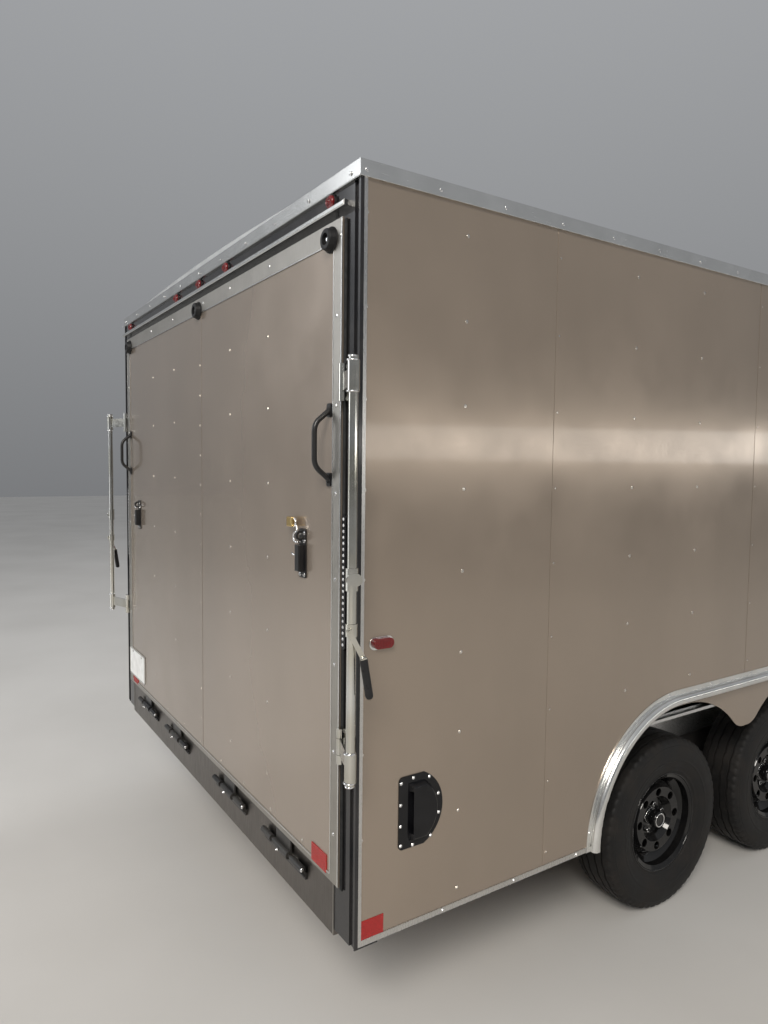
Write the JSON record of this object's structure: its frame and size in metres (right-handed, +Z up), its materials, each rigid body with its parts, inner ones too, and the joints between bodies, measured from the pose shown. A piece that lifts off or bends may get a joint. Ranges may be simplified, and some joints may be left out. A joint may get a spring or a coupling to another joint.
{
  "type": "enclosed cargo trailer",
  "caption": "Enclosed tandem-axle cargo trailer with a V nose, rear ramp door, side door, bar locks and tongue jack.",
  "frame": {"origin": "centre of the overall box, on the ground under the parked trailer", "axes": "+Z up, +Y forward to the hitch, +X to the right-hand side"},
  "size_m": [2.8418, 6.6172, 2.683],
  "materials": {
    "black_steel": "black enamel on steel",
    "frame_paint": "glossy charcoal enamel",
    "body_skin": "pewter coil-coated aluminium sheet",
    "bright_trim": "bright rolled aluminium trim",
    "ramp_skin": "pewter coil-coated aluminium sheet",
    "roof_skin": "mill finish aluminium sheet",
    "plate_aluminium": "bright aluminium sheet",
    "plywood": "sealed plywood",
    "black_rubber": "moulded rubber",
    "black_coated": "black powder coat",
    "black_plastic": "moulded black plastic",
    "zinc_steel": "zinc plated steel",
    "red_lens": "clear red lens",
    "amber_lens": "clear amber lens",
    "tyre_rubber": "tyre rubber",
    "rim_black": "gloss black enamel"
  },
  "bodies": {
    "root": {"main_rails": "black_steel", "crossmembers": "black_steel", "tongue": "black_steel", "coupler": "black_steel", "jack_tube": "black_steel", "leaf_springs": "black_steel", "spring_hangers": "black_steel", "equalizers": "black_steel", "axle_rear": "black_steel", "axle_front": "black_steel", "floor_deck": "plywood", "sidewall_right": "body_skin", "sidewall_left": "body_skin", "nose_wall_right": "body_skin", "nose_wall_left": "body_skin", "stone_guard": "plate_aluminium", "roof": "roof_skin", "roof_trim": "bright_trim", "edge_trims": "bright_trim", "wheel_wells": "plate_aluminium", "arch_trims": "bright_trim", "arch_skirts": "body_skin", "rear_posts": "frame_paint", "rear_header": "frame_paint", "drip_rail": "bright_trim", "rear_sill": "frame_paint", "sill_hinges": "black_steel", "lock_mounts": "zinc_steel", "tail_lamps": "black_plastic", "rear_markers": "red_lens", "front_markers": "amber_lens", "side_vents": "black_plastic", "side_door_frame": "bright_trim", "side_door_hinges": "bright_trim", "wiring_box": "black_plastic"},
    "ramp_door": {"ramp_panel": "ramp_skin", "ramp_edge_band": "bright_trim", "ramp_hinges": "black_steel", "ramp_bumpers": "black_rubber", "grab_handles": "black_coated", "hasps": "black_coated"},
    "side_door": {"side_door": "body_skin", "side_door_straps": "bright_trim", "side_door_latch": "black_plastic"},
    "bar_lock_right": {"bar_lock_right": "zinc_steel"},
    "bar_lock_left": {"bar_lock_left": "zinc_steel"},
    "jack_leg": {"jack_leg": "black_steel"},
    "wheel_rear_right": {"tyre_rear_right": "tyre_rubber", "rim_rear_right": "rim_black", "hub_rear_right": "black_steel"},
    "wheel_rear_left": {"tyre_rear_left": "tyre_rubber", "rim_rear_left": "rim_black", "hub_rear_left": "black_steel"},
    "wheel_front_right": {"tyre_front_right": "tyre_rubber", "rim_front_right": "rim_black", "hub_front_right": "black_steel"},
    "wheel_front_left": {"tyre_front_left": "tyre_rubber", "rim_front_left": "rim_black", "hub_front_left": "black_steel"}
  },
  "joints": [
    {"name": "ramp_hinge", "type": "hinge", "parent": "root", "child": "ramp_door", "pos_m": [0, -3.23234, 0.543], "axis": [1, 0, 0], "range_deg": [0, 104]},
    {"name": "side_door_hinge", "type": "hinge", "parent": "root", "child": "side_door", "pos_m": [1.3105, 1.44066, 1.515], "axis": [0, 0, 1], "range_deg": [0, 170]},
    {"name": "bar_lock_right_swing", "type": "hinge", "parent": "root", "child": "bar_lock_right", "pos_m": [1.235, -3.23534, 1.551], "axis": [0, 0, 1], "range_deg": [-152.7, 0]},
    {"name": "bar_lock_left_swing", "type": "hinge", "parent": "root", "child": "bar_lock_left", "pos_m": [-1.235, -3.23534, 1.551], "axis": [0, 0, -1], "range_deg": [-152.7, 0]},
    {"name": "jack_slide", "type": "slide", "parent": "root", "child": "jack_leg", "axis": [0, 0, 1], "range_m": [0, 0.3]},
    {"name": "wheel_rear_right_spin", "type": "hinge", "parent": "root", "child": "wheel_rear_right", "pos_m": [1.113, -1.64434, 0.36], "axis": [1, 0, 0], "continuous": true},
    {"name": "wheel_rear_left_spin", "type": "hinge", "parent": "root", "child": "wheel_rear_left", "pos_m": [-1.113, -1.64434, 0.36], "axis": [1, 0, 0], "continuous": true},
    {"name": "wheel_front_right_spin", "type": "hinge", "parent": "root", "child": "wheel_front_right", "pos_m": [1.113, -0.78034, 0.36], "axis": [1, 0, 0], "continuous": true},
    {"name": "wheel_front_left_spin", "type": "hinge", "parent": "root", "child": "wheel_front_left", "pos_m": [-1.113, -0.78034, 0.36], "axis": [1, 0, 0], "continuous": true}
  ]
}
